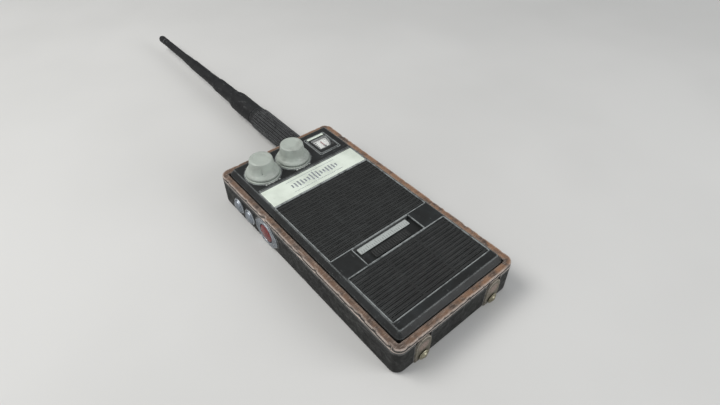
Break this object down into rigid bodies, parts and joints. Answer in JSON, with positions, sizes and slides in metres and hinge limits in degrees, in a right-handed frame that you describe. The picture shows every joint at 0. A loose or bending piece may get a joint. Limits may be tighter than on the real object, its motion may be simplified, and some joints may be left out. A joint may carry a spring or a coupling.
{
  "type": "two way radio",
  "caption": "Hand-held two-way radio in an open-fronted leather case, with ribbed grilles, two knobs, a small meter, side talk button and a long screw-on antenna.",
  "frame": {"origin": "centre of the leather case's flat back", "axes": "+Y runs from the bottom end towards the antenna, +Z comes out of the face, +X is to the right of the face"},
  "size_m": [0.0823, 0.3712, 0.035],
  "materials": {
    "black_leather": "worn, creased",
    "brown_leather": "worn edge binding",
    "olive_leather": "worn, matte",
    "black_plastic": "satin, scuffed edges",
    "grey_plastic": "satin",
    "red_plastic": "gloss",
    "black_rubber": "matte, scuffed",
    "silver_plate": "satin anodised",
    "side_metal": "brushed, worn",
    "steel": "plain",
    "chrome": "bright",
    "brass": "tarnished",
    "paper": "pressed paper",
    "white_print": "printed",
    "clear": "clear",
    "circuit_board": "solder mask"
  },
  "bodies": {
    "radio": {"leather_case": "black_leather", "case_rim": "brown_leather", "strap_anchor_left": "olive_leather", "strap_anchor_right": "olive_leather", "snap_stud_left": "brass", "snap_stud_right": "brass", "rear_housing": "black_plastic", "battery_door": "black_plastic", "front_panel": "black_plastic", "housing_screw_1": "steel", "housing_screw_2": "steel", "housing_screw_3": "steel", "housing_screw_4": "steel", "speaker_grille": "black_plastic", "lower_grille": "black_plastic", "nameplate": "silver_plate", "volume_index_disc": "grey_plastic", "volume_potentiometer": "steel", "squelch_index_disc": "grey_plastic", "squelch_potentiometer": "steel", "meter_housing": "black_plastic", "meter_dial": "white_print", "meter_window": "clear", "meter_trim_bar": "chrome", "channel_scale": "white_print", "channel_switch": "steel", "ptt_plate": "side_metal", "ptt_ring": "side_metal", "ptt_switch": "black_plastic", "side_collar_upper": "side_metal", "side_switch_upper": "black_plastic", "side_collar_lower": "side_metal", "side_switch_lower": "black_plastic", "antenna_connector": "brass", "speaker_basket": "steel", "speaker_magnet": "steel", "speaker_cone": "paper", "microphone": "steel", "main_board": "circuit_board", "battery_holder": "black_plastic", "battery_cell_1": "steel", "battery_cell_2": "steel", "battery_cell_3": "steel"},
    "volume_control": {"volume_knob": "grey_plastic", "volume_shaft": "steel"},
    "squelch_control": {"squelch_knob": "grey_plastic", "squelch_shaft": "steel"},
    "needle": {"meter_needle": "red_plastic"},
    "channel_control": {"channel_slider": "black_plastic"},
    "talk_button": {"ptt_button": "red_plastic"},
    "upper_side_button": {"side_button_upper": "side_metal"},
    "lower_side_button": {"side_button_lower": "side_metal"},
    "antenna": {"antenna_grip": "black_rubber", "antenna_whip": "black_rubber", "antenna_tip": "black_rubber"},
    "left_strap": {"strap_tab_left": "olive_leather", "snap_cap_left": "brass"},
    "right_strap": {"strap_tab_right": "olive_leather", "snap_cap_right": "brass"}
  },
  "joints": [
    {"name": "volume_turn", "type": "hinge", "parent": "radio", "child": "volume_control", "pos_m": [-0.0217, 0.0572, 0.025], "axis": [0, 0, 1], "range_deg": [-150, 150]},
    {"name": "squelch_turn", "type": "hinge", "parent": "radio", "child": "squelch_control", "pos_m": [-0.0005, 0.0572, 0.025], "axis": [0, 0, 1], "range_deg": [-150, 150]},
    {"name": "meter_swing", "type": "hinge", "parent": "radio", "child": "needle", "pos_m": [0.0226, 0.0555, 0.023], "axis": [0, 0, 1], "range_deg": [-28, 28], "stiffness_Nm_per_rad": 0.0002},
    {"name": "channel_slide", "type": "slide", "parent": "radio", "child": "channel_control", "axis": [1, 0, 0], "range_m": [-0.006, 0.006]},
    {"name": "talk_press", "type": "slide", "parent": "radio", "child": "talk_button", "axis": [1, 0, 0], "range_m": [0, 0.0012], "stiffness_N_per_m": 500, "springref_m": -0.0008},
    {"name": "upper_side_press", "type": "slide", "parent": "radio", "child": "upper_side_button", "axis": [1, 0, 0], "range_m": [0, 0.0012], "stiffness_N_per_m": 500, "springref_m": -0.0008},
    {"name": "lower_side_press", "type": "slide", "parent": "radio", "child": "lower_side_button", "axis": [1, 0, 0], "range_m": [0, 0.0012], "stiffness_N_per_m": 500, "springref_m": -0.0008},
    {"name": "antenna_screw", "type": "hinge", "parent": "radio", "child": "antenna", "pos_m": [0.0161, 0.0775, 0.01025], "axis": [0, 1, 0], "continuous": true},
    {"name": "left_strap_lift", "type": "hinge", "parent": "radio", "child": "left_strap", "pos_m": [-0.0241, -0.07785, 0.0009], "axis": [1, 0, 0], "range_deg": [0, 110]},
    {"name": "right_strap_lift", "type": "hinge", "parent": "radio", "child": "right_strap", "pos_m": [0.0243, -0.07785, 0.0009], "axis": [1, 0, 0], "range_deg": [0, 110]}
  ]
}
